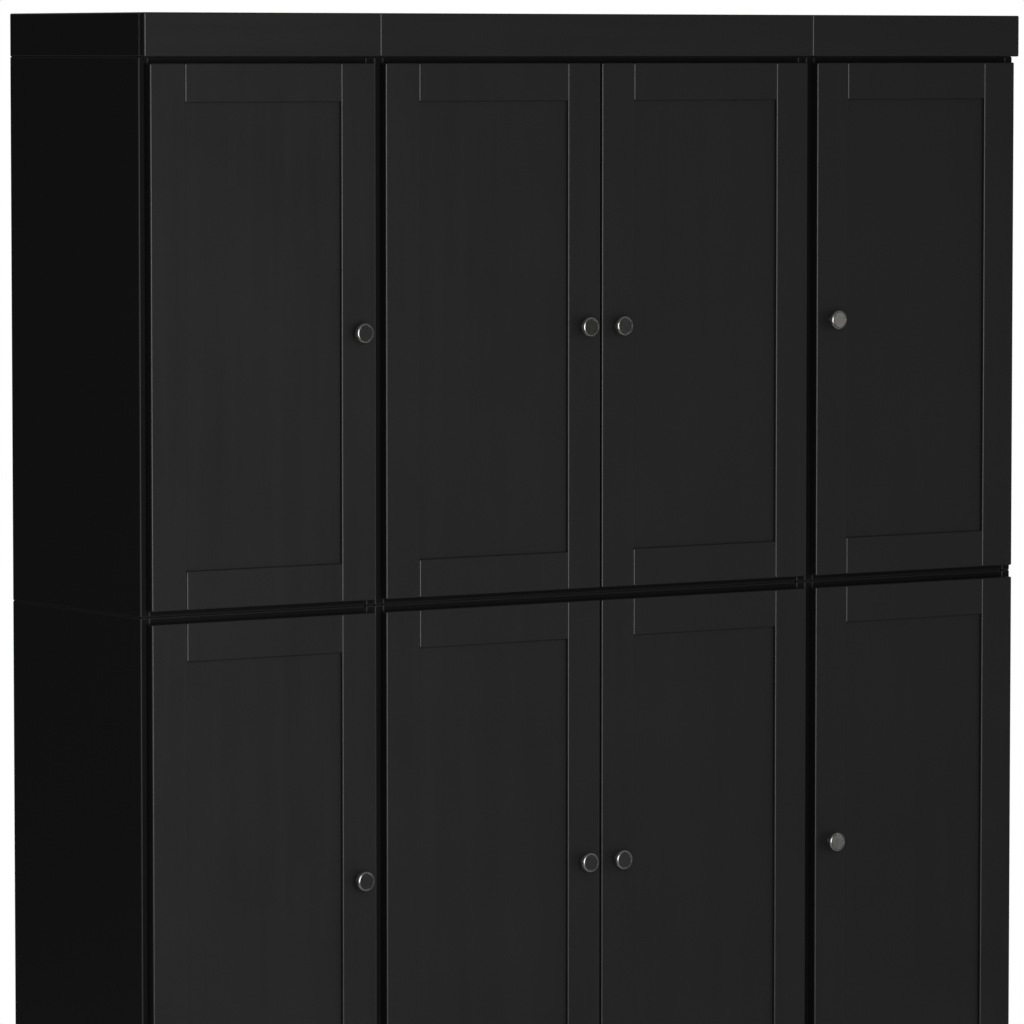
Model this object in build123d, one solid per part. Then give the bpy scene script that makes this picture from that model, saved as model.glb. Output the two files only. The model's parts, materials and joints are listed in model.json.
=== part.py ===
from build123d import *
from math import sqrt
import os

# Locker cabinet: three columns of shaker doors in two tiers, standing on a plinth and under a cap.
# Frame: origin on the floor under the middle of the whole object, X to the right, Y to the back, Z up.
# Millimetres throughout. Each of the six units is its own box of boards, stacked and bolted together.

# ---- boards and overall size ----
board = 15.0            # thickness of every carcass, cap and plinth board
arris = 2.0             # rounding along the edges of boards and door members
cap_arris = 2.2
single_width = 390.0    # a column with one door
tier_height = 785.0     # one unit, with its top and bottom boards
carcass_depth = 363.0
cap_height = 62.0
plinth_height = 68.0
deck_setback = 2.0      # top and bottom boards stand this far behind the side boards' front edges
cleat_size = 20.0       # strips inside cap and plinth that the deck screws go into
cleat_setback = 40.0

# ---- doors ----
reveal = 9.0            # carcass edge left uncovered on each side of a door
pair_gap = 3.0          # between the two doors of the wide column
door_gap = 2.0          # between a door's back and the carcass
door_thickness = 15.0
stile_width = 57.0
rail_width = 55.0
panel_thickness = 6.0
panel_recess = 5.5      # the panel's face behind the frame's face
groove_depth = 10.0     # groove in stiles and rails that holds the panel
tongue_slack = 0.5      # between a panel's or tenon's edge and the bottom of its groove
groove_end = 3.0        # wood left at a stile's ends, past the groove

# ---- back boards and shelves ----
back_thickness = 3.0
back_inset = 8.0        # back board's rear face from the carcass's rear edge
back_groove = 5.0
back_slack = 0.3
shelf_thickness = 15.0
shelf_side_gap = 1.0
shelf_back_gap = 2.0
shelf_setback = 22.0
peg_radius = 2.5
peg_depth = 9.0         # blind holes for the shelf pegs
peg_reach = 9.0         # how far a peg stands out under the shelf
peg_pitch = 32.0
peg_steps = 3           # spare holes above and below each peg
peg_from_front = 85.0
peg_from_back = 60.0

# ---- knobs ----
knob_radius = 15.0
knob_projection = 20.0
knob_face_radius = 11.3
knob_dish = 0.5
knob_dish_edge = 0.4    # width of the step down into the dished face
knob_front_round = 4.5  # depth of the rounding from the face back to the widest ring
knob_rear_round = 3.0   # depth of the rounding behind the widest ring
knob_rear_inset = 1.8   # how far the rear rounding turns in
knob_flare = 0.7        # how far the underside's curve bows in from a straight cone
knob_neck_start = 2.4
knob_neck_radius = 5.2
knob_foot = 1.0
knob_foot_radius = 6.0
knob_screw_radius = 2.0
knob_screw_slack = 0.25
knob_thread_depth = 9.0
knob_screw_head_radius = 4.5
knob_screw_head = 2.2

# ---- hinges: concealed cup, one pin ----
opening_angle = 95.0    # past this the hook would meet the cup's wall
hinge_inset = 100.0     # hinge centre from the door's top and bottom
cup_radius = 17.5
cup_edge = 3.0          # wood left between the door's edge and the cup's bore
cup_cover = 2.2         # wood left between the cup and the door's face
cup_wall = 0.8
cup_slack = 0.05
flange_thickness = 1.0
flange_half_height = 30.0
flange_half_width = 7.0
flange_offset = 6.0     # wings and their screws, further from the door's edge than the cup's centre
flange_screw_spacing = 48.0
pin_from_edge = 6.0
pin_above_floor = 2.2   # from the cup's inner floor to the pin's axis
pin_radius = 0.9
pin_half_length = 6.0
pin_running_gap = 0.06
eye_radius = 1.6
lug_inner = 4.3         # each lug starts this far above or below the hinge's centre
lug_outer = 6.2
lug_reach = 1.8         # lug past the pin's axis
hook_half_height = 4.0
hook_thickness = 1.6
hook_drop = 0.7         # hook's middle in front of the pin's axis
hook_reach = 13.5       # from the pin to the arm's far side
arm_thickness = 1.5
arm_half_height = 7.0
arm_step_gap = 4.0      # the arm's step in front of the mounting plate
arm_rear_gap = 3.0      # the arm's rear end in front of the plate's
plate_thickness = 2.0
plate_setback = 14.0    # mounting plate behind the carcass front
plate_length = 38.0
plate_half_height = 21.0
plate_corner = 4.0
boss_height = 5.0
boss_half_height = 8.0
plate_screw_setback = 37.0
plate_screw_spacing = 32.0
arm_screw_setback = 27.0
wood_screw_radius = 1.8
wood_screw_head_radius = 3.4
wood_screw_head = 1.8
wood_screw_bite = 10.0  # length of screw in the wood

# ---- catches, strikes and bumpers ----
catch_length = 46.0
catch_height = 13.0
catch_depth = 14.0
catch_front_gap = 1.0   # catch's body behind the carcass front
catch_from_edge = 75.0  # catch's middle from the door's free edge
catch_corner = 1.5
catch_screw_spacing = 38.0
pole_thickness = 1.2
pole_length = 28.0
pole_spacing = 7.0
pole_rear_gap = 2.0     # body left behind a pole plate
strike_length = 38.0
strike_height = 11.0
strike_thickness = 1.0
strike_corner = 2.0
strike_screw_spacing = 24.0
strike_screw_radius = 1.0
strike_screw_head_radius = 2.0
strike_screw_head = 0.6
strike_screw_bite = 6.0
closing_air = 0.1       # left between a closed door's parts and what they meet
bumper_radius = 4.0
bumper_edge = 1.0       # rounding at the pad's end
bumper_from_edge = 24.0
bumper_from_end = 4.2

# ---- screw heads ----
head_rounding = 0.33    # rounding of a head's rim, as a share of the head's height
recess_reach = 0.62     # length of the cross recess's arms, as a share of the head's radius
recess_width = 0.22     # width of its arms, as a share of the head's radius
recess_depth = 0.6      # its depth, as a share of the head's height

# ---- fasteners between boards ----
cam_radius = 7.5
cam_depth = 12.0
cam_from_end = 24.0
cam_from_front = 45.0
cam_from_back = 60.0
cam_slack = 0.05
cam_bolt_radius = 3.0
cam_bolt_bite = 11.0
connector_radius = 4.0
connector_head_radius = 7.0
connector_head = 1.6
connector_from_front = 115.0
connector_from_back = 95.0
connector_from_end = 190.0
deck_connector_from_side = 60.0
cleat_screw_from_front = 90.0
cleat_screw_from_back = 80.0

# ---- wall brackets ----
bracket_width = 24.0
bracket_leg = 40.0
bracket_thickness = 2.0
bracket_screw_spacing = 14.0
bracket_screw_from_back = 22.0
wall_hole_radius = 3.0
wall_hole_drop = 26.0   # below the top board's underside

# ---- sizes that follow ----
door_width = single_width - 2 * reveal
door_height = tier_height - 2 * reveal
double_width = 2 * door_width + pair_gap + 2 * reveal
total_width = 2 * single_width + double_width
total_depth = carcass_depth + door_gap + door_thickness + knob_projection
y_rear = total_depth / 2
y_front = y_rear - carcass_depth
y_door = y_front - door_gap
y_face = y_door - door_thickness
z_cap = plinth_height + 2 * tier_height
y_back_rear = y_rear - back_inset
y_back_face = y_back_rear - back_thickness
panel_front = -door_thickness + panel_recess
panel_back = panel_front + panel_thickness
cup_centre = cup_edge + cup_radius
cup_depth = door_thickness - cup_cover
pin_from_back = cup_depth - cup_wall - pin_above_floor
cup_bore_radius = cup_radius + cup_slack
inner_side = board - reveal     # a carcass side's inner face, from the door's edge over it

COLUMNS = {
    "left": (-total_width / 2, -total_width / 2 + single_width),
    "centre": (-double_width / 2, double_width / 2),
    "right": (total_width / 2 - single_width, total_width / 2),
}
TIERS = {"lower": plinth_height, "upper": plinth_height + tier_height}

# Each door: the X of its hinged edge, and whether it is hinged on its right.
DOORS = {
    "left": (COLUMNS["left"][0] + reveal, False),
    "centre_left": (COLUMNS["centre"][0] + reveal, False),
    "centre_right": (COLUMNS["centre"][1] - reveal, True),
    "right": (COLUMNS["right"][1] - reveal, True),
}

os.makedirs("parts", exist_ok=True)


def save(name, shapes):
    """Writes one node: all the separate solids in these shapes, as one STEP file."""
    solids = [s for shape in shapes for s in shape.solids()]
    export_step(Compound(label=name, children=solids), f"parts/{name}.step")


def block(x0, x1, y0, y1, z0, z1):
    """A plain box between three pairs of coordinates."""
    centre = Pos((x0 + x1) / 2, (y0 + y1) / 2, (z0 + z1) / 2)
    return centre * Box(x1 - x0, y1 - y0, z1 - z0)


def eased(x0, x1, y0, y1, z0, z1, radius=arris):
    """A board with all its edges rounded."""
    return fillet(block(x0, x1, y0, y1, z0, z1).edges(), radius)


def rod(radius, start, direction, length):
    """A cylinder that starts at a point and runs along a direction."""
    base = Cylinder(radius, length, align=(Align.CENTER, Align.CENTER, Align.MIN))
    return Plane(origin=start, z_dir=direction) * base


def screw(seat, direction, head_radius, head, radius, length):
    """A cross-recessed screw whose head sits on a surface at seat and whose shank runs along direction."""
    outward = tuple(-c for c in direction)
    cap = rod(head_radius, seat, outward, head)
    rim = cap.edges().sort_by(lambda e: (e.center() - Vector(seat)).length)[-1]
    body = fillet(rim, head * head_rounding) + rod(radius, seat, direction, length)
    top = Plane(origin=seat, z_dir=outward) * Pos(0, 0, head * (1 - recess_depth / 2))
    arm = Box(2 * recess_reach * head_radius, recess_width * head_radius, head * recess_depth)
    return body - [top * arm, top * Rot(0, 0, 90) * arm]


def wood_screw(seat, direction, through):
    """A screw that passes through a fitting and bites into the wood behind it."""
    return screw(seat, direction, wood_screw_head_radius, wood_screw_head,
                 wood_screw_radius, through + wood_screw_bite)


def screw_hole(surface, direction):
    return rod(wood_screw_radius, surface, direction, wood_screw_bite)


# ---------------------------------------------------------------------------------------------
# Doors. A door is drawn as one hinged on its left: X = 0 is its hinged edge, Y = 0 its back,
# Z = 0 its lower edge. Doors hinged on the right are its mirror image.
# ---------------------------------------------------------------------------------------------

HINGE_HEIGHTS = (hinge_inset, door_height - hinge_inset)
knob_place = (door_width - stile_width / 2, door_height / 2)
strike_place = (door_width - catch_from_edge, door_height - inner_side - catch_height / 2)
SIDES = (-1, 1)


def stile(x0, x1, inner_x):
    """An upright door member with a stopped groove in its inner edge."""
    body = eased(x0, x1, -door_thickness, 0, 0, door_height)
    reach = groove_depth if inner_x == x0 else -groove_depth
    ends = sorted((inner_x, inner_x + reach))
    return body - block(*ends, panel_front, panel_back, groove_end, door_height - groove_end)


def rail(z0, z1, inner_z, tenon_z):
    """A cross member with a groove along its inner edge and a tenon at each end."""
    x0 = stile_width
    x1 = door_width - stile_width
    body = eased(x0, x1, -door_thickness, 0, z0, z1)
    reach = groove_depth if inner_z == z0 else -groove_depth
    ends = sorted((inner_z, inner_z + reach))
    body -= block(x0, x1, panel_front, panel_back, *ends)
    tenon = groove_depth - tongue_slack
    for a, b in ((x0 - tenon, x0 + groove_depth), (x1 - groove_depth, x1 + tenon)):
        body += block(a, b, panel_front, panel_back, *tenon_z)
    return body


def door_frame():
    hinge_stile = stile(0, stile_width, stile_width)
    for z in HINGE_HEIGHTS:
        hinge_stile -= rod(cup_bore_radius, (cup_centre, 0, z), (0, -1, 0), cup_depth + cup_slack)
        for side in SIDES:
            place = (cup_centre + flange_offset, 0, z + side * flange_screw_spacing / 2)
            hinge_stile -= screw_hole(place, (0, -1, 0))
    knob_stile = stile(door_width - stile_width, door_width, door_width - stile_width)
    x, z = knob_place
    knob_stile -= rod(knob_screw_radius + knob_screw_slack, (x, 0, z), (0, -1, 0), door_thickness)
    tenon_low = groove_end + tongue_slack
    tenon_high = rail_width - groove_depth
    bottom_rail = rail(0, rail_width, rail_width, (tenon_low, tenon_high))
    top_rail = rail(door_height - rail_width, door_height, door_height - rail_width,
                    (door_height - tenon_high, door_height - tenon_low))
    x, z = strike_place
    for side in SIDES:
        place = (x + side * strike_screw_spacing / 2, 0, z)
        top_rail -= rod(strike_screw_radius, place, (0, -1, 0), strike_screw_bite)
    return [hinge_stile, knob_stile, top_rail, bottom_rail]


def door_panel():
    inset_x = stile_width - groove_depth + tongue_slack
    inset_z = rail_width - groove_depth + tongue_slack
    return [block(inset_x, door_width - inset_x, panel_front, panel_back,
                  inset_z, door_height - inset_z)]


def knob():
    """A turned mushroom knob: thin neck, conical underside, round-edged rim and a shallow dished face."""
    top = knob_projection
    widest = top - knob_front_round
    rear = widest - knob_rear_round
    shoulder = knob_radius - knob_rear_inset
    waist = ((knob_neck_radius + shoulder) / 2 - knob_flare, (knob_neck_start + rear) / 2)
    neck = (knob_neck_radius, knob_neck_start)
    front_width = knob_radius - knob_face_radius
    outline = (
        Polyline((0, 0), (knob_foot_radius, 0), (knob_foot_radius, knob_foot), neck)
        + ThreePointArc(neck, waist, (shoulder, rear))
        + EllipticalCenterArc((shoulder, widest), knob_rear_inset, knob_rear_round, 270)
        + EllipticalCenterArc((knob_face_radius, widest), front_width, knob_front_round, 0)
        + Polyline((knob_face_radius, top), (knob_face_radius - knob_dish_edge, top - knob_dish),
                   (0, top - knob_dish), (0, 0))
    )
    body = revolve(Plane.XZ * make_face(outline), Axis.Z)
    body -= rod(knob_screw_radius, (0, 0, 0), (0, 0, 1), knob_thread_depth)
    x, z = knob_place
    return [Plane(origin=(x, -door_thickness, z), z_dir=(0, -1, 0)) * body]


def hinge_cup(z):
    """A steel cup with two lugs inside that turn on the pin, and a flange with two screw wings."""
    cup = rod(cup_radius, (cup_centre, 0, z), (0, -1, 0), cup_depth)
    wings_x = cup_centre + flange_offset
    flange = rod(cup_radius, (cup_centre, 0, z), (0, 1, 0), flange_thickness)
    wings = block(wings_x - flange_half_width, wings_x + flange_half_width, 0, flange_thickness,
                  z - flange_half_height, z + flange_half_height)
    wings = fillet(wings.edges().filter_by(Axis.Y), flange_half_width / 2)
    cup += flange + wings
    inner_floor = cup_wall - cup_depth
    mouth = flange_thickness
    cup -= rod(cup_radius - cup_wall, (cup_centre, mouth, z), (0, -1, 0), mouth - inner_floor)
    lug_x = cup_centre - sqrt((cup_radius - cup_slack) ** 2 - lug_outer ** 2)
    for side in SIDES:
        z0, z1 = sorted((z + side * lug_inner, z + side * lug_outer))
        cup += block(lug_x, pin_from_edge + lug_reach, inner_floor, lug_reach - pin_from_back, z0, z1)
    pin_start = (pin_from_edge, -pin_from_back, z - pin_half_length)
    cup -= rod(pin_radius + pin_running_gap, pin_start, (0, 0, 1), 2 * pin_half_length)
    for side in SIDES:
        place = (wings_x, flange_thickness, z + side * flange_screw_spacing / 2)
        cup -= rod(wood_screw_radius, place, (0, -1, 0), flange_thickness)
    return cup


def door_fittings():
    """What is fixed to a door's back: hinge cups, strike plate, bumpers and all their screws."""
    pieces = []
    for z in HINGE_HEIGHTS:
        pieces.append(hinge_cup(z))
        for side in SIDES:
            place = (cup_centre + flange_offset, flange_thickness, z + side * flange_screw_spacing / 2)
            pieces.append(wood_screw(place, (0, -1, 0), flange_thickness))
    x, z = knob_place
    pieces.append(screw((x, 0, z), (0, -1, 0), knob_screw_head_radius, knob_screw_head,
                        knob_screw_radius, door_thickness + knob_thread_depth))
    x, z = strike_place
    strike = block(x - strike_length / 2, x + strike_length / 2, 0, strike_thickness,
                   z - strike_height / 2, z + strike_height / 2)
    strike = fillet(strike.edges().filter_by(Axis.Y), strike_corner)
    for side in SIDES:
        place = (x + side * strike_screw_spacing / 2, strike_thickness, z)
        strike -= rod(strike_screw_radius, place, (0, -1, 0), strike_thickness)
        pieces.append(screw(place, (0, -1, 0), strike_screw_head_radius, strike_screw_head,
                            strike_screw_radius, strike_thickness + strike_screw_bite))
    pieces.append(strike)
    for z in (bumper_from_end, door_height - bumper_from_end):
        pad = rod(bumper_radius, (door_width - bumper_from_edge, 0, z), (0, 1, 0),
                  door_gap + deck_setback - closing_air)
        pieces.append(fillet(pad.edges().sort_by(Axis.Y)[-1], bumper_edge))
    return pieces


# ---------------------------------------------------------------------------------------------
# The fixed halves of the hinges and catches, in the same coordinates as a closed left-hung door.
# ---------------------------------------------------------------------------------------------

def hinge_arm(z):
    """The bent arm from the pin to the mounting plate, and the pin riveted through its eye."""
    front = -pin_from_back - hook_drop - hook_thickness / 2
    outer = pin_from_edge + hook_reach
    plate_top = inner_side + plate_thickness + boss_height
    step = door_gap + plate_setback - arm_step_gap
    eye = rod(eye_radius, (pin_from_edge, -pin_from_back, z - hook_half_height), (0, 0, 1),
              2 * hook_half_height)
    hook = block(pin_from_edge, outer, front, front + hook_thickness,
                 z - hook_half_height, z + hook_half_height)
    arm = block(outer - arm_thickness, outer, front, step, z - arm_half_height, z + arm_half_height)
    arm += block(plate_top, outer, step - arm_thickness, step,
                 z - arm_half_height, z + arm_half_height)
    rear = door_gap + plate_setback + plate_length - arm_rear_gap
    arm += block(plate_top, plate_top + arm_thickness, step - arm_thickness, rear,
                 z - arm_half_height, z + arm_half_height)
    arm += eye + hook
    pin_start = (pin_from_edge, -pin_from_back, z - pin_half_length)
    arm -= rod(pin_radius, pin_start, (0, 0, 1), 2 * pin_half_length)
    seat = (plate_top + arm_thickness, door_gap + arm_screw_setback, z)
    arm -= rod(wood_screw_radius, seat, (-1, 0, 0), arm_thickness)
    return [arm, rod(pin_radius, pin_start, (0, 0, 1), 2 * pin_half_length)]


def hinge_plate(z):
    """The plate that is screwed to the inside of the carcass side."""
    y0 = door_gap + plate_setback
    plate = block(inner_side, inner_side + plate_thickness, y0, y0 + plate_length,
                  z - plate_half_height, z + plate_half_height)
    plate = fillet(plate.edges().filter_by(Axis.X), plate_corner)
    plate += block(inner_side + plate_thickness, inner_side + plate_thickness + boss_height,
                   y0, y0 + plate_length, z - boss_half_height, z + boss_half_height)
    for side in SIDES:
        place = (inner_side + plate_thickness, door_gap + plate_screw_setback,
                 z + side * plate_screw_spacing / 2)
        plate -= rod(wood_screw_radius, place, (-1, 0, 0), plate_thickness)
    seat = (inner_side + plate_thickness + boss_height, door_gap + arm_screw_setback, z)
    plate -= rod(wood_screw_radius, seat, (-1, 0, 0), plate_thickness + boss_height)
    return plate


def hinge_screws(z):
    top = inner_side + plate_thickness
    pieces = []
    for side in SIDES:
        place = (top, door_gap + plate_screw_setback, z + side * plate_screw_spacing / 2)
        pieces.append(wood_screw(place, (-1, 0, 0), plate_thickness))
    seat = (top + boss_height + arm_thickness, door_gap + arm_screw_setback, z)
    pieces.append(screw(seat, (-1, 0, 0), wood_screw_head_radius, wood_screw_head,
                        wood_screw_radius, plate_thickness + boss_height + arm_thickness))
    return pieces


def hinge_side_holes():
    """Screw holes in the carcass side for one door's mounting plates."""
    places = [(inner_side, door_gap + plate_screw_setback, z + side * plate_screw_spacing / 2)
              for z in HINGE_HEIGHTS for side in SIDES]
    return [screw_hole(p, (-1, 0, 0)) for p in places]


def catch():
    """A magnetic catch under the top board: a body and two pole plates."""
    x, z = strike_place
    y0 = door_gap + catch_front_gap
    body = block(x - catch_length / 2, x + catch_length / 2, y0, y0 + catch_depth,
                 z - catch_height / 2, z + catch_height / 2)
    body = fillet(body.edges().filter_by(Axis.Y), catch_corner)
    poles = []
    for side in SIDES:
        middle = z + side * pole_spacing / 2
        pole = block(x - pole_length / 2, x + pole_length / 2,
                     strike_thickness + closing_air, y0 + catch_depth - pole_rear_gap,
                     middle - pole_thickness / 2, middle + pole_thickness / 2)
        body -= pole
        poles.append(pole)
    for seat in catch_screw_seats():
        body -= rod(wood_screw_radius, seat, (0, 0, 1), catch_height)
    return [body] + poles


def catch_screw_seats():
    x, z = strike_place
    y = door_gap + catch_front_gap + catch_depth / 2
    return [(x + side * catch_screw_spacing / 2, y, z - catch_height / 2) for side in SIDES]


# ---------------------------------------------------------------------------------------------
# Placing what belongs to a door, and the holes it needs, at each of the eight doors.
# ---------------------------------------------------------------------------------------------

def at_door(shapes, door, tier):
    x, right_hung = DOORS[door]
    if right_hung:
        shapes = [mirror(s, about=Plane.YZ) for s in shapes]
    return [Pos(x, y_door, TIERS[tier] + reveal) * s for s in shapes]


frame_pieces = door_frame()
panel_pieces = door_panel()
knob_pieces = knob()
fitting_pieces = door_fittings()
arm_pieces = [p for z in HINGE_HEIGHTS for p in hinge_arm(z)]
plate_pieces = [hinge_plate(z) for z in HINGE_HEIGHTS]
hinge_screw_pieces = [p for z in HINGE_HEIGHTS for p in hinge_screws(z)]
catch_pieces = catch()
catch_screws = [wood_screw(s, (0, 0, 1), catch_height) for s in catch_screw_seats()]
catch_holes = [screw_hole((x, y, z + catch_height), (0, 0, 1)) for x, y, z in catch_screw_seats()]

arms, plates, hinge_screw_set, catches, deck_screws = [], [], [], [], []
for tier in TIERS:
    for door in DOORS:
        save(f"door_frame_{tier}_{door}", at_door(frame_pieces, door, tier))
        save(f"door_panel_{tier}_{door}", at_door(panel_pieces, door, tier))
        save(f"knob_{tier}_{door}", at_door(knob_pieces, door, tier))
        save(f"door_fittings_{tier}_{door}", at_door(fitting_pieces, door, tier))
        arms += at_door(arm_pieces, door, tier)
        plates += at_door(plate_pieces, door, tier)
        hinge_screw_set += at_door(hinge_screw_pieces, door, tier)
        catches += at_door(catch_pieces, door, tier)
        deck_screws += at_door(catch_screws, door, tier)

# ---------------------------------------------------------------------------------------------
# Carcasses, backs and shelves
# ---------------------------------------------------------------------------------------------

CAM_DEPTHS = (y_front + cam_from_front, y_rear - cam_from_back)
PEG_DEPTHS = (y_front + peg_from_front, y_rear - peg_from_back)
CONNECTOR_DEPTHS = (y_front + connector_from_front, y_rear - connector_from_back)
CLEAT_SCREW_DEPTHS = (y_front + cleat_screw_from_front, y_rear - cleat_screw_from_back)
CLEAT_INSET = board + cleat_size / 2
cam_fasteners, shelf_pegs, backs, connectors, brackets = [], [], [], [], []


def peg_height(z0):
    """Height of the pegs under the shelf, which stands at the unit's mid-height."""
    return z0 + tier_height / 2 - shelf_thickness / 2 - peg_radius


def side_board(x0, inward, z0, hinge_cuts):
    """A carcass side with its back groove and all the holes for pegs, cams and connectors."""
    x1 = x0 + board
    face = x1 if inward > 0 else x0         # the inner face
    outer = x0 if inward > 0 else x1
    body = eased(x0, x1, y_front, y_rear, z0, z0 + tier_height)
    ends = sorted((face, face - inward * back_groove))
    groove_stop = board - back_groove
    cuts = [block(*ends, y_back_face, y_back_rear, z0 + groove_stop, z0 + tier_height - groove_stop)]
    for y in PEG_DEPTHS:
        for step in range(-peg_steps, peg_steps + 1):
            z = peg_height(z0) + step * peg_pitch
            cuts.append(rod(peg_radius, (face, y, z), (-inward, 0, 0), peg_depth))
    for y in CAM_DEPTHS:
        for z in (z0 + board / 2, z0 + tier_height - board / 2):
            cuts.append(rod(cam_bolt_radius, (face, y, z), (-inward, 0, 0), cam_bolt_bite))
    if abs(abs(outer) - total_width / 2) > board:
        for y in CONNECTOR_DEPTHS:
            for z in (z0 + connector_from_end, z0 + tier_height - connector_from_end):
                cuts.append(rod(connector_radius, (x0, y, z), (1, 0, 0), board))
    return body - cuts - hinge_cuts


def deck_board(x0, x1, z0, cam_face, cuts):
    """A top or bottom board, with cams let into the face turned away from the doors."""
    body = eased(x0, x1, y_front + deck_setback, y_rear, z0, z0 + board)
    inner = z0 if cam_face > z0 else z0 + board
    up = 1 if cam_face > z0 else -1
    holes = list(cuts)
    z_groove = sorted((inner, inner + up * back_groove))
    holes.append(block(x0, x1, y_back_face, y_back_rear, *z_groove))
    for y in CAM_DEPTHS:
        for end, inward in ((x0, 1), (x1, -1)):
            centre = end + inward * cam_from_end
            holes.append(rod(cam_radius + cam_slack, (centre, y, cam_face), (0, 0, -up),
                             cam_depth + cam_slack))
            holes.append(rod(cam_bolt_radius + cam_slack, (end, y, z0 + board / 2), (inward, 0, 0),
                             cam_from_end))
            cam = rod(cam_radius, (centre, y, cam_face), (0, 0, -up), cam_depth)
            bolt_length = cam_bolt_bite + cam_from_end + cam_bolt_radius
            bolt_start = (end - inward * cam_bolt_bite, y, z0 + board / 2)
            bolt = rod(cam_bolt_radius, bolt_start, (inward, 0, 0), bolt_length)
            cam_fasteners.extend((cam - bolt, bolt))
    return body - holes


def wall_bracket(x, z_inner):
    """An angle bracket in the top back corner, and its two screws up into the top board."""
    y0 = y_back_face - bracket_thickness
    half = bracket_width / 2
    body = block(x - half, x + half, y0, y_back_face, z_inner - bracket_leg, z_inner)
    body += block(x - half, x + half, y_back_face - bracket_leg, y_back_face,
                  z_inner - bracket_thickness, z_inner)
    hole = rod(wall_hole_radius, (x, y0, z_inner - wall_hole_drop), (0, 1, 0),
               bracket_thickness + back_thickness)
    body -= hole
    holes = []
    for side in SIDES:
        y = y_back_face - bracket_screw_from_back + side * bracket_screw_spacing / 2
        seat = (x, y, z_inner - bracket_thickness)
        body -= rod(wood_screw_radius, seat, (0, 0, 1), bracket_thickness)
        deck_screws.append(wood_screw(seat, (0, 0, 1), bracket_thickness))
        holes.append(screw_hole((x, y, z_inner), (0, 0, 1)))
    brackets.append(body)
    return hole, holes


def connector(start, direction):
    """A two-part connecting bolt through two boards, with a head on each side."""
    run = 2 * board
    far = tuple(s + d * run for s, d in zip(start, direction))
    back = tuple(-d for d in direction)
    bolt = rod(connector_radius, start, direction, run)
    bolt += rod(connector_head_radius, start, back, connector_head)
    bolt += rod(connector_head_radius, far, direction, connector_head)
    return bolt


def unit(column, tier):
    """One carcass with its back board, shelf, pegs, cams and connectors."""
    x0, x1 = COLUMNS[column]
    z0 = TIERS[tier]
    z1 = z0 + tier_height
    inner0, inner1 = x0 + board, x1 - board
    own_doors = [d for d in DOORS if x0 < DOORS[d][0] < x1]
    hinge_holes = {False: [], True: []}
    top_cuts, bottom_cuts = [], []
    for d in own_doors:
        hinge_holes[DOORS[d][1]] += at_door(hinge_side_holes(), d, tier)
        top_cuts += at_door(catch_holes, d, tier)
    # deck screws into the cap's or plinth's cleats, and connectors between the two tiers
    for y in CLEAT_SCREW_DEPTHS:
        for x in (x0 + CLEAT_INSET, x1 - CLEAT_INSET):
            if tier == "upper":
                seat, up, cuts = (x, y, z1 - board), 1, top_cuts
            else:
                seat, up, cuts = (x, y, z0 + board), -1, bottom_cuts
            cuts.append(rod(wood_screw_radius, seat, (0, 0, up), board))
            deck_screws.append(wood_screw(seat, (0, 0, up), board))
    for y in CONNECTOR_DEPTHS:
        for x in (x0 + deck_connector_from_side, x1 - deck_connector_from_side):
            cuts, z = (bottom_cuts, z0) if tier == "upper" else (top_cuts, z1 - board)
            cuts.append(rod(connector_radius, (x, y, z), (0, 0, 1), board))
            if tier == "lower":
                connectors.append(connector((x, y, z1 - board), (0, 0, 1)))
    back_hole = []
    if tier == "upper" and column != "centre":
        hole, holes = wall_bracket((x0 + x1) / 2, z1 - board)
        back_hole.append(hole)
        top_cuts += holes
    sides = [side_board(x0, 1, z0, hinge_holes[False]),
             side_board(inner1, -1, z0, hinge_holes[True])]
    decks = [deck_board(inner0, inner1, z0, z0, bottom_cuts),
             deck_board(inner0, inner1, z1 - board, z1, top_cuts)]
    save(f"carcass_{tier}_{column}", sides + decks)
    reach = back_groove - back_slack
    back = block(inner0 - reach, inner1 + reach, y_back_face, y_back_rear,
                 z0 + board - reach, z1 - board + reach)
    backs.append(back - back_hole if back_hole else back)
    middle = z0 + tier_height / 2
    shelf = eased(inner0 + shelf_side_gap, inner1 - shelf_side_gap,
                  y_front + shelf_setback, y_back_face - shelf_back_gap,
                  middle - shelf_thickness / 2, middle + shelf_thickness / 2)
    save(f"shelf_{tier}_{column}", [shelf])
    for y in PEG_DEPTHS:
        for face, inward in ((inner0, 1), (inner1, -1)):
            start = (face - inward * peg_depth, y, peg_height(z0))
            shelf_pegs.append(rod(peg_radius, start, (inward, 0, 0), peg_depth + peg_reach))


for tier in TIERS:
    for column in COLUMNS:
        unit(column, tier)
    for x in (COLUMNS["left"][1] - board, COLUMNS["right"][0] - board):
        for y in CONNECTOR_DEPTHS:
            for dz in (connector_from_end, tier_height - connector_from_end):
                connectors.append(connector((x, y, TIERS[tier] + dz), (1, 0, 0)))

# ---------------------------------------------------------------------------------------------
# Cap and plinth: one hollow box per column, its front flush with the doors' faces
# ---------------------------------------------------------------------------------------------


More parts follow.
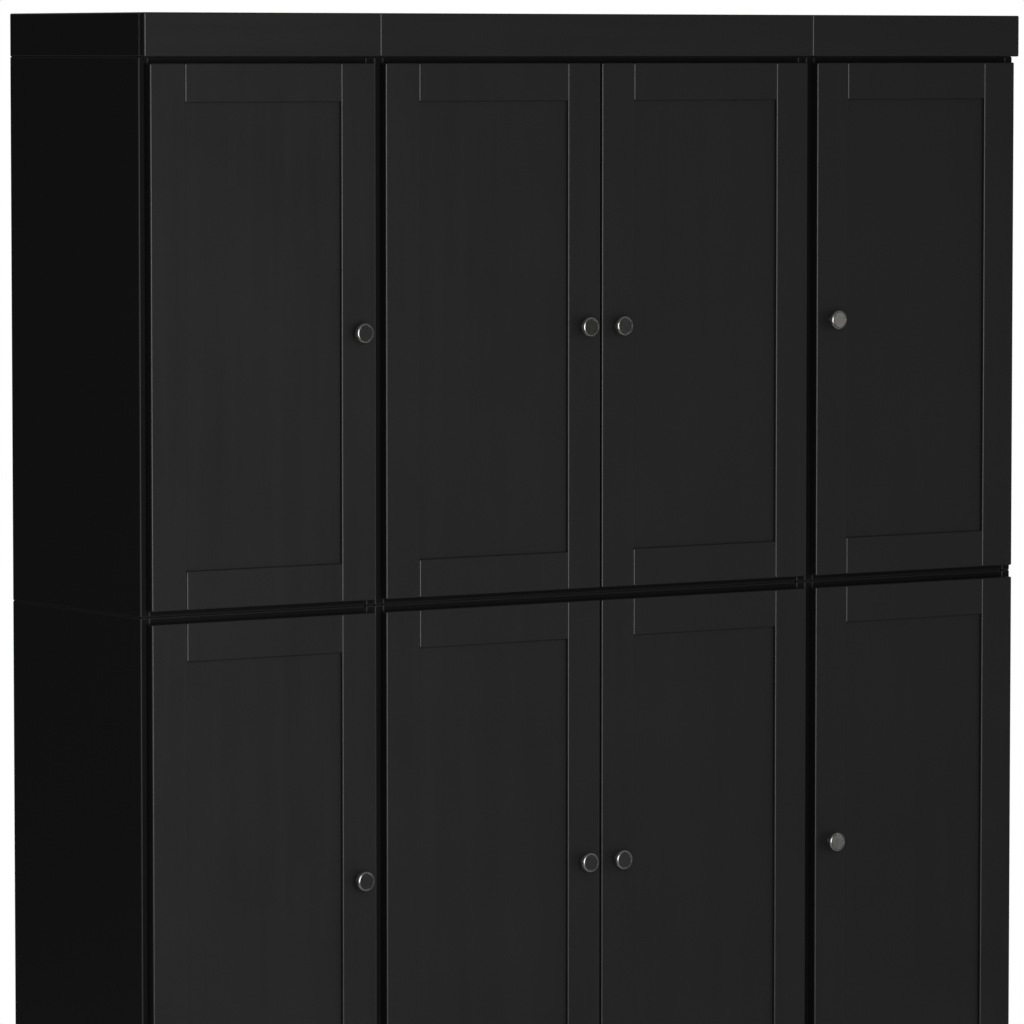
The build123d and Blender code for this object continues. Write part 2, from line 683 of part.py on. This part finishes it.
def ring(x0, x1, z0, z1, cleat_z, screw_z, up, radius):
    """Front, back and two ends, with a cleat along each end for the deck screws."""
    front = eased(x0, x1, y_face, y_face + board, z0, z1, radius)
    back = eased(x0 + board, x1 - board, y_rear - board, y_rear, z0, z1, radius)
    ends = [eased(a, a + board, y_face + board, y_rear, z0, z1, radius) for a in (x0, x1 - board)]
    cleats = []
    for a in (x0 + board, x1 - board - cleat_size):
        cleat = block(a, a + cleat_size, y_front + cleat_setback, y_rear - cleat_setback,
                      cleat_z, cleat_z + cleat_size)
        for y in CLEAT_SCREW_DEPTHS:
            start = (a + cleat_size / 2, y, screw_z)
            cleat -= rod(wood_screw_radius, start, (0, 0, up), wood_screw_bite)
        cleats.append(cleat)
    return [front, back] + ends + cleats


for column, (x0, x1) in COLUMNS.items():
    z1 = z_cap + cap_height
    cap = ring(x0, x1, z_cap, z1, z_cap, z_cap, 1, cap_arris)
    lid = eased(x0 + board, x1 - board, y_face + board, y_rear - board, z1 - board, z1, cap_arris)
    save(f"cap_{column}", cap + [lid])
    plinth = ring(x0, x1, 0, plinth_height, plinth_height - cleat_size, plinth_height, -1, arris)
    save(f"plinth_{column}", plinth)

save("hinge_arms", arms)
save("hinge_plates", plates)
save("hinge_screws", hinge_screw_set)
save("magnetic_catches", catches)
save("deck_screws", deck_screws)
save("cam_fasteners", cam_fasteners)
save("shelf_pegs", shelf_pegs)
save("back_boards", backs)
save("connector_bolts", connectors)
save("wall_brackets", brackets)
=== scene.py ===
"""Looks for the locker cabinet: black satin lacquer on boards, gunmetal knobs, plated fittings.

Metres throughout, in the same frame as the CAD: X to the right, Y to the back, Z up, origin on the
floor under the middle of the cabinet. The doors face -Y. A texture's scale is roughly how many of its
features fit in a metre.
"""
import json
import math

import bpy
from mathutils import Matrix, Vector

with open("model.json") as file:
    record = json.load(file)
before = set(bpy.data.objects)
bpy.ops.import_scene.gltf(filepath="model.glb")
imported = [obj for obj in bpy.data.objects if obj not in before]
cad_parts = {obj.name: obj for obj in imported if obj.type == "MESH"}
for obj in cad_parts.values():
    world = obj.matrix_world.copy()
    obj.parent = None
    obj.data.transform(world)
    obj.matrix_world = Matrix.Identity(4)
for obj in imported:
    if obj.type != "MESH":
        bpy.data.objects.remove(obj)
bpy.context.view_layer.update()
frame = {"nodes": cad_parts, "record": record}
nodes = frame["nodes"]
slot_of = {part["node"]: part["material_slot"] for part in frame["record"]["subparts"]}

# ---------------------------------------------------------------------------------------------
# Node-graph helpers
# ---------------------------------------------------------------------------------------------

COLOUR_A, COLOUR_B, COLOUR_OUT = 6, 7, 2    # places of the Mix node's sockets for colours


class Graph:
    """A material's or world's node tree, with short calls that add a node and join its inputs."""

    def __init__(self, tree):
        self.tree = tree

    def add(self, kind, inputs=None, **settings):
        node = self.tree.nodes.new(kind)
        for name, value in settings.items():
            setattr(node, name, value)
        for key, value in (inputs or {}).items():
            self.put(node.inputs[key], value)
        return node

    def put(self, socket, value):
        if isinstance(value, bpy.types.NodeSocket):
            self.tree.links.new(value, socket)
        else:
            socket.default_value = value

    def mix(self, factor, first, second):
        """Blend of two colours."""
        node = self.add("ShaderNodeMix", data_type="RGBA")
        self.put(node.inputs["Factor"], factor)
        self.put(node.inputs[COLOUR_A], first)
        self.put(node.inputs[COLOUR_B], second)
        return node.outputs[COLOUR_OUT]

    def scale(self, value, low, high, to_low, to_high):
        """Maps a value from one range to another, clamped."""
        node = self.add("ShaderNodeMapRange", {"Value": value, "From Min": low, "From Max": high,
                                               "To Min": to_low, "To Max": to_high})
        return node.outputs["Result"]

    def combine(self, operation, first, second):
        """Sum or product of two values."""
        return self.add("ShaderNodeMath", {0: first, 1: second}, operation=operation).outputs[0]

    def noise(self, vector, scale, detail=2.0, roughness=0.5, distortion=0.0):
        node = self.add("ShaderNodeTexNoise", {"Vector": vector, "Scale": scale, "Detail": detail,
                                               "Roughness": roughness, "Distortion": distortion})
        return node.outputs[0]


def grey(value, warmth=0.0):
    """An RGBA grey, slightly warm or cool."""
    return (value * (1 + warmth), value, value * (1 - warmth), 1.0)


def varied(graph, factor, base, dark, pale, dark_warmth=0.0, pale_warmth=0.0):
    """A grey that varies from a darker to a paler share of its base."""
    return graph.mix(factor, grey(base * dark, dark_warmth), grey(base * pale, pale_warmth))


def new_material(name):
    material = bpy.data.materials.new(name)
    material.use_nodes = True
    graph = Graph(material.node_tree)
    shader = material.node_tree.nodes["Principled BSDF"]
    place = graph.add("ShaderNodeTexCoord").outputs["Object"]
    return material, graph, shader, place


def stretched(graph, place, scale):
    """Object coordinates squeezed along some axes, for streaks and grain."""
    return graph.add("ShaderNodeMapping", {"Vector": place, "Scale": scale}).outputs[0]


def bump(graph, shader, height, strength, distance, under=None):
    """Surface relief, on top of another relief if one is given."""
    node = graph.add("ShaderNodeBump", {"Height": height, "Strength": strength, "Distance": distance})
    if under is not None:
        graph.put(node.inputs["Normal"], under)
    graph.put(shader.inputs["Normal"], node.outputs[0])
    return node.outputs[0]


# ---------------------------------------------------------------------------------------------
# Materials
# ---------------------------------------------------------------------------------------------


def lacquer(name, base, sheen_low, sheen_high, grain, gloss):
    """Satin black lacquer: faint cloudy tone, orange peel and a trace of board grain along one axis."""
    material, graph, shader, place = new_material(name)
    cloud = graph.noise(place, scale=5.0, detail=3.0, roughness=0.6)
    grain_place = stretched(graph, place, grain)
    streaks = graph.noise(grain_place, scale=1.0, detail=5.0, roughness=0.62, distortion=0.4)
    clouded = varied(graph, cloud, base, dark=0.82, pale=1.2, dark_warmth=-0.01, pale_warmth=0.01)
    streaked = graph.scale(streaks, low=0.35, high=0.75, to_low=0.0, to_high=0.35)
    streak_tone = grey(base * 1.5, warmth=0.02)
    graph.put(shader.inputs["Base Color"], graph.mix(streaked, clouded, streak_tone))
    half = 0.5
    haze = graph.combine("ADD", graph.combine("MULTIPLY", cloud, half),
                         graph.combine("MULTIPLY", streaks, half))
    graph.put(shader.inputs["Roughness"],
              graph.scale(haze, low=0.3, high=0.7, to_low=sheen_low, to_high=sheen_high))
    peel = graph.noise(place, scale=420.0)
    peel_relief = bump(graph, shader, peel, strength=0.10, distance=0.0004)
    bump(graph, shader, streaks, strength=0.05, distance=0.0006, under=peel_relief)
    shader.inputs["Specular IOR Level"].default_value = gloss
    return material


def brushed_metal(name, base, warmth, rough_low, rough_high, streak_scale, depth):
    """Plated metal with fine streaks, soft stains and varying polish."""
    material, graph, shader, place = new_material(name)
    shader.inputs["Metallic"].default_value = 1.0
    streaks = graph.noise(stretched(graph, place, streak_scale), scale=1.0, detail=4.0, roughness=0.6)
    stain = graph.noise(place, scale=60.0, detail=3.0, roughness=0.6)
    stained = varied(graph, stain, base, dark=0.85, pale=1.15, dark_warmth=warmth, pale_warmth=warmth / 2)
    streaked = graph.scale(streaks, low=0.4, high=0.7, to_low=0.0, to_high=0.3)
    streak_tone = grey(base * 0.7, warmth)
    graph.put(shader.inputs["Base Color"], graph.mix(streaked, stained, streak_tone))
    graph.put(shader.inputs["Roughness"],
              graph.scale(stain, low=0.3, high=0.7, to_low=rough_low, to_high=rough_high))
    bump(graph, shader, streaks, strength=depth, distance=0.0002)
    return material


def moulded_plastic(name, base, rough_low, rough_high):
    """Moulded plastic, rubber or powder coat with a fine matt texture."""
    material, graph, shader, place = new_material(name)
    mottle = graph.noise(place, scale=90.0, detail=3.0, roughness=0.6)
    graph.put(shader.inputs["Base Color"], varied(graph, mottle, base, dark=0.85, pale=1.15))
    graph.put(shader.inputs["Roughness"],
              graph.scale(mottle, low=0.3, high=0.7, to_low=rough_low, to_high=rough_high))
    mould_texture = graph.noise(place, scale=2600.0, roughness=0.6)
    bump(graph, shader, mould_texture, strength=0.25, distance=0.0001)
    return material


def hardboard(name, base):
    """Painted hardboard with a fine pressed-fibre texture."""
    material, graph, shader, place = new_material(name)
    fibre = graph.noise(place, scale=700.0, detail=4.0, roughness=0.7, distortion=0.6)
    blotch = graph.noise(place, scale=9.0, detail=3.0, roughness=0.6)
    blotched = varied(graph, blotch, base, dark=0.8, pale=1.25, pale_warmth=0.02)
    fibrous = graph.scale(fibre, low=0.4, high=0.7, to_low=0.0, to_high=0.4)
    fibre_tone = grey(base * 1.7)
    graph.put(shader.inputs["Base Color"], graph.mix(fibrous, blotched, fibre_tone))
    graph.put(shader.inputs["Roughness"], graph.scale(fibre, low=0.3, high=0.7, to_low=0.5, to_high=0.68))
    bump(graph, shader, fibre, strength=0.25, distance=0.0003)
    return material


ALONG, CROSS = 1.6, 38.0          # scales of the board grain's streaks, along and across the grain
GRAINS = {                        # by the axis that the grain follows, in the order X, Y, Z
    "across": (ALONG, CROSS, CROSS),
    "deep": (CROSS, ALONG, CROSS),
    "upright": (CROSS, CROSS, ALONG),
}


def coats(name, base, sheen_low, sheen_high, gloss):
    """One lacquer for each way that the grain can run."""
    return [lacquer(f"{name}_{way}", base, sheen_low, sheen_high, grain, gloss)
            for way, grain in GRAINS.items()]


SHOW, SIDE_SHADE, GAP_SHADE = 0.02, 0.008, 0.005     # how pale the coat is: fronts; side faces, darker as painted shade; a carcass's gaps and insides, darker still as painted shade
face_lacquer = coats("face_lacquer", SHOW, sheen_low=0.44, sheen_high=0.54, gloss=0.5)
# Side faces: a darker copy of the lacquer, painted shade for the sides turned from the light.
side_shade_lacquer = coats("side_shade_lacquer", SIDE_SHADE, sheen_low=0.46, sheen_high=0.56, gloss=0.4)
# A carcass's edges and insides: the darkest copy of the lacquer, painted shade for the gaps and hollows.
gap_shade_lacquer = coats("gap_shade_lacquer", GAP_SHADE, sheen_low=0.5, sheen_high=0.6, gloss=0.25)
lacquer_arris = lacquer("lacquer_arris", SHOW, sheen_low=0.32, sheen_high=0.42,
                        grain=GRAINS["upright"], gloss=1.0)
board_coats = [*face_lacquer, *side_shade_lacquer, *gap_shade_lacquer, lacquer_arris]

back_paint = hardboard("back_board_paint", base=0.02)
knob_face = brushed_metal("gunmetal_knob_face", base=0.21, warmth=0.02, rough_low=0.13, rough_high=0.2,
                          streak_scale=(220.0, 60.0, 220.0), depth=0.1)
knob_rim = brushed_metal("satin_knob_rim", base=0.6, warmth=0.02, rough_low=0.2, rough_high=0.3,
                         streak_scale=(60.0, 300.0, 60.0), depth=0.04)
nickel = brushed_metal("nickel_steel", base=0.5, warmth=0.02, rough_low=0.22, rough_high=0.36,
                       streak_scale=(60.0, 60.0, 400.0), depth=0.1)
zinc = brushed_metal("zinc_steel", base=0.42, warmth=0.0, rough_low=0.3, rough_high=0.46,
                     streak_scale=(300.0, 300.0, 300.0), depth=0.15)
bracket_paint = moulded_plastic("bracket_powder_coat", base=0.02, rough_low=0.42, rough_high=0.55)
catch_plastic = moulded_plastic("catch_plastic", base=0.012, rough_low=0.38, rough_high=0.5)
bumper_rubber = moulded_plastic("bumper_rubber", base=0.05, rough_low=0.5, rough_high=0.62)

# ---------------------------------------------------------------------------------------------
# Painting the nodes
# ---------------------------------------------------------------------------------------------

SIDE_SHADE_COATS = len(GRAINS)              # place of the first side lacquer, the painted-shade side coat, among board_coats
GAP_SHADE_COATS = 2 * len(GRAINS)          # place of the first carcass edge lacquer, the darkest painted-shade coat
ARRIS_COAT = 3 * len(GRAINS)          # place of the arris lacquer
FLAT_LIMIT = 0.999                    # a board's face that looks less straight along an axis is rounded
KNOB_FACE_LIMIT = 0.97                # a knob's triangles that look this straight ahead are its face
LONG_FITTING = 0.030                  # a door fitting longer than this is a hinge cup or a strike plate
BUMPER_WIDTH, BUMPER_DEPTH = 0.008, 0.006
SIZE_ERROR = 0.0005
POLE_HEIGHT = 0.003                   # a catch's solid lower than this is a pole plate
KEY_DIGITS = 6                        # corners that agree to a micrometre are the same corner


def paint(node, *materials):
    """Gives a node its materials, with all its faces in the first."""
    mesh = nodes[node].data
    mesh.materials.clear()
    for material in materials:
        mesh.materials.append(material)
    for face in mesh.polygons:
        face.material_index = 0
    return mesh


def islands(mesh):
    """The separate solids in a node, each as (list of faces, lowest corner, highest corner)."""
    faces_of = {}
    parent = {}

    def find(key):
        while parent[key] != key:
            parent[key] = parent[parent[key]]
            key = parent[key]
        return key

    keys = [tuple(round(c, KEY_DIGITS) for c in v.co) for v in mesh.vertices]
    for key in keys:
        parent.setdefault(key, key)
    for face in mesh.polygons:
        first = find(keys[face.vertices[0]])
        for index in face.vertices[1:]:
            parent[find(keys[index])] = first
    for face in mesh.polygons:
        faces_of.setdefault(find(keys[face.vertices[0]]), []).append(face)
    found = []
    for faces in faces_of.values():
        points = [mesh.vertices[i].co for face in faces for i in face.vertices]
        low = Vector([min(p[k] for p in points) for k in range(3)])
        high = Vector([max(p[k] for p in points) for k in range(3)])
        found.append((faces, low, high))
    return found


def paint_boards(node):
    """Lacquered boards, with the grain along each board's longest side.

    Side faces have a darker, flatter coat than the fronts: painted shade for the sides turned from
    the light. A carcass's edges and inside have a darker, flatter coat still: painted shade for the
    gaps between the doors and the hollows behind them. The rounded upright edges of doors, caps and
    plinths have a glossier one.
    """
    inside = node.startswith(("carcass", "shelf"))
    mesh = paint(node, *board_coats)
    for faces, low, high in islands(mesh):
        size = high - low
        along = max(range(3), key=lambda k: size[k])
        for face in faces:
            x, y, z = (abs(c) for c in face.normal)
            rounded = max(x, y, z) < FLAT_LIMIT
            if rounded and not inside and z <= x:
                face.material_index = ARRIS_COAT
            elif rounded:
                face.material_index = along
            # Faces turned to the sides take the darker side coat, which is painted shade.
            elif x > FLAT_LIMIT:
                face.material_index = along + SIDE_SHADE_COATS
            # A carcass's other flat faces take the darkest coat, painted shade for the gaps and insides.
            elif inside:
                face.material_index = along + GAP_SHADE_COATS
            else:
                face.material_index = along


def paint_by_solid(node, choose, *materials):
    """Gives each separate solid in a node the material that choose picks from its size."""
    mesh = paint(node, *materials)
    for faces, low, high in islands(mesh):
        index = materials.index(choose(high - low))
        for face in faces:
            face.material_index = index


def paint_knob(node):
    """A brushed face, with a satin rim and neck around it."""
    mesh = paint(node, knob_rim, knob_face)
    for face in mesh.polygons:
        face.material_index = int(face.normal.y < -KNOB_FACE_LIMIT)


def fitting_material(size):
    """Nickel for a hinge cup or strike plate, rubber for a bumper, zinc for a screw."""
    if max(size) > LONG_FITTING:
        return nickel
    if abs(size.x - BUMPER_WIDTH) < SIZE_ERROR and size.y < BUMPER_DEPTH:
        return bumper_rubber
    return zinc


def catch_material(size):
    """Steel for a catch's pole plates, plastic for its body."""
    return nickel if size.z < POLE_HEIGHT else catch_plastic


PLAIN = {
    "back_board": back_paint,
    "hinge_steel": nickel,
    "fastener_steel": zinc,
    "bracket_steel": bracket_paint,
}
for name, slot in slot_of.items():
    if name.startswith("door_fittings_"):
        paint_by_solid(name, fitting_material, nickel, zinc, bumper_rubber)
    elif name == "magnetic_catches":
        paint_by_solid(name, catch_material, catch_plastic, nickel)
    elif slot == "knob_metal":
        paint_knob(name)
    elif slot == "black_lacquer":
        paint_boards(name)
    else:
        paint(name, PLAIN[slot])

# ---------------------------------------------------------------------------------------------
# Floor, light and camera
# ---------------------------------------------------------------------------------------------

FLOOR_HALF = 6.0
FLOOR_SOLID, FLOOR_EDGE = 0.95, 1.5    # the floor fades out between these distances from the cabinet
FLOOR_DARK, FLOOR_PALE = 0.78, 0.84
FLOOR_CLOUDS = 3.0

SURROUND = 0.044                       # how bright the surround is for light
ABOVE, BEHIND, RIGHT = 0.05, 0.3, 0.07    # how much brighter it gets overhead, behind and front right
FRONT_RIGHT = (0.56, -0.83, 0.0)

CAMERA_PLACE = (-5.3824, -7.9751, 1.6409)
CAMERA_TURN, CAMERA_TILT = math.radians(33.835), math.radians(4.033)    # to the right and down
CAMERA_LENS, CAMERA_SENSOR = 228.04, 36.0                               # in mm, as Blender has it
CAMERA_REACH = 100.0

LIGHTS = {
    "front": {"place": (-1.6, -3.3, 1.15), "target": (-0.4, -0.2, 1.0),
              "width": 2.0, "height": 2.4, "power": 46.0},
    "right_strip": {"place": (2.25, -2.65, 1.0), "target": (0.5, -0.2, 1.0),
                    "width": 0.18, "height": 1.9, "power": 1.25},
    "left_strip": {"place": (-3.3, -1.9, 1.1), "target": (-0.6, -0.2, 0.9),
                   "width": 0.6, "height": 2.4, "power": 2.2},
    "back_right": {"place": (1.7, 3.2, 1.3), "target": (0.2, 0.2, 0.8),
                   "width": 2.0, "height": 2.2, "power": 40.0},
}


def make_floor():
    """A pale matt floor that fades into the white around it."""
    mesh = bpy.data.meshes.new("floor")
    h = FLOOR_HALF
    mesh.from_pydata([(-h, -h, 0), (h, -h, 0), (h, h, 0), (-h, h, 0)], [], [(0, 1, 2, 3)])
    floor = bpy.data.objects.new("floor", mesh)
    bpy.context.scene.collection.objects.link(floor)
    material, graph, shader, place = new_material("pale_floor")
    shader.inputs["Roughness"].default_value = 0.7
    clouds = graph.noise(place, FLOOR_CLOUDS)
    graph.put(shader.inputs["Base Color"], graph.mix(clouds, grey(FLOOR_DARK), grey(FLOOR_PALE)))
    distance = graph.add("ShaderNodeVectorMath", {0: place}, operation="LENGTH").outputs["Value"]
    graph.put(shader.inputs["Alpha"], graph.scale(distance, FLOOR_SOLID, FLOOR_EDGE, 1.0, 0.0))
    mesh.materials.append(material)


def softbox(name, place, target, width, height, power):
    """A rectangular soft light that points at a target and isn't itself seen."""
    light = bpy.data.lights.new(name, "AREA")
    light.shape = "RECTANGLE"
    light.size = width
    light.size_y = height
    light.energy = power
    lamp = bpy.data.objects.new(name, light)
    lamp.location = place
    lamp.rotation_euler = (Vector(target) - Vector(place)).to_track_quat("-Z", "Y").to_euler()
    lamp.visible_camera = False
    bpy.context.scene.collection.objects.link(lamp)


def make_world():
    """White behind the object for the camera, and for light a dim surround.

    The surround is a little brighter overhead, behind on the right and at the front right.
    """
    world = bpy.data.worlds.new("studio")
    world.use_nodes = True
    bpy.context.scene.world = world
    graph = Graph(world.node_tree)
    graph.tree.nodes.clear()
    direction = graph.add("ShaderNodeTexCoord").outputs["Generated"]
    axes = graph.add("ShaderNodeSeparateXYZ", {"Vector": direction})
    above = graph.scale(axes.outputs["Z"], low=0.3, high=0.8, to_low=0.0, to_high=ABOVE)
    to_back = graph.scale(axes.outputs["Y"], low=0.05, high=0.4, to_low=0.0, to_high=BEHIND)
    to_right = graph.scale(axes.outputs["X"], low=-0.25, high=0.1, to_low=0.0, to_high=1.0)
    level = graph.combine("ADD", above, graph.combine("MULTIPLY", to_back, to_right))
    facing = graph.add("ShaderNodeVectorMath", {0: direction, 1: FRONT_RIGHT},
                       operation="DOT_PRODUCT").outputs["Value"]
    front_right = graph.scale(facing, low=0.15, high=0.6, to_low=0.0, to_high=RIGHT)
    level = graph.combine("ADD", level, front_right)
    level = graph.combine("ADD", level, SURROUND)
    surround = graph.add("ShaderNodeBackground", {"Color": grey(1.0), "Strength": level})
    backdrop = graph.add("ShaderNodeBackground", {"Color": grey(1.0), "Strength": 1.0})
    seen = graph.add("ShaderNodeLightPath").outputs["Is Camera Ray"]
    both = graph.add("ShaderNodeMixShader", {0: seen, 1: surround.outputs[0], 2: backdrop.outputs[0]})
    graph.add("ShaderNodeOutputWorld", {"Surface": both.outputs[0]})


def make_camera():
    """Level-headed view from the front left, a little above the middle, with a long lens."""
    data = bpy.data.cameras.new("camera")
    data.sensor_width = CAMERA_SENSOR
    data.lens = CAMERA_LENS
    data.clip_end = CAMERA_REACH
    camera = bpy.data.objects.new("camera", data)
    camera.location = CAMERA_PLACE
    level = math.cos(CAMERA_TILT)
    ahead = Vector((math.sin(CAMERA_TURN) * level, math.cos(CAMERA_TURN) * level, -math.sin(CAMERA_TILT)))
    camera.rotation_euler = ahead.to_track_quat("-Z", "Y").to_euler()
    bpy.context.scene.collection.objects.link(camera)
    bpy.context.scene.camera = camera


make_floor()
make_world()
make_camera()
for name, light in LIGHTS.items():
    softbox(name, **light)

bpy.context.scene.view_settings.view_transform = "Standard"
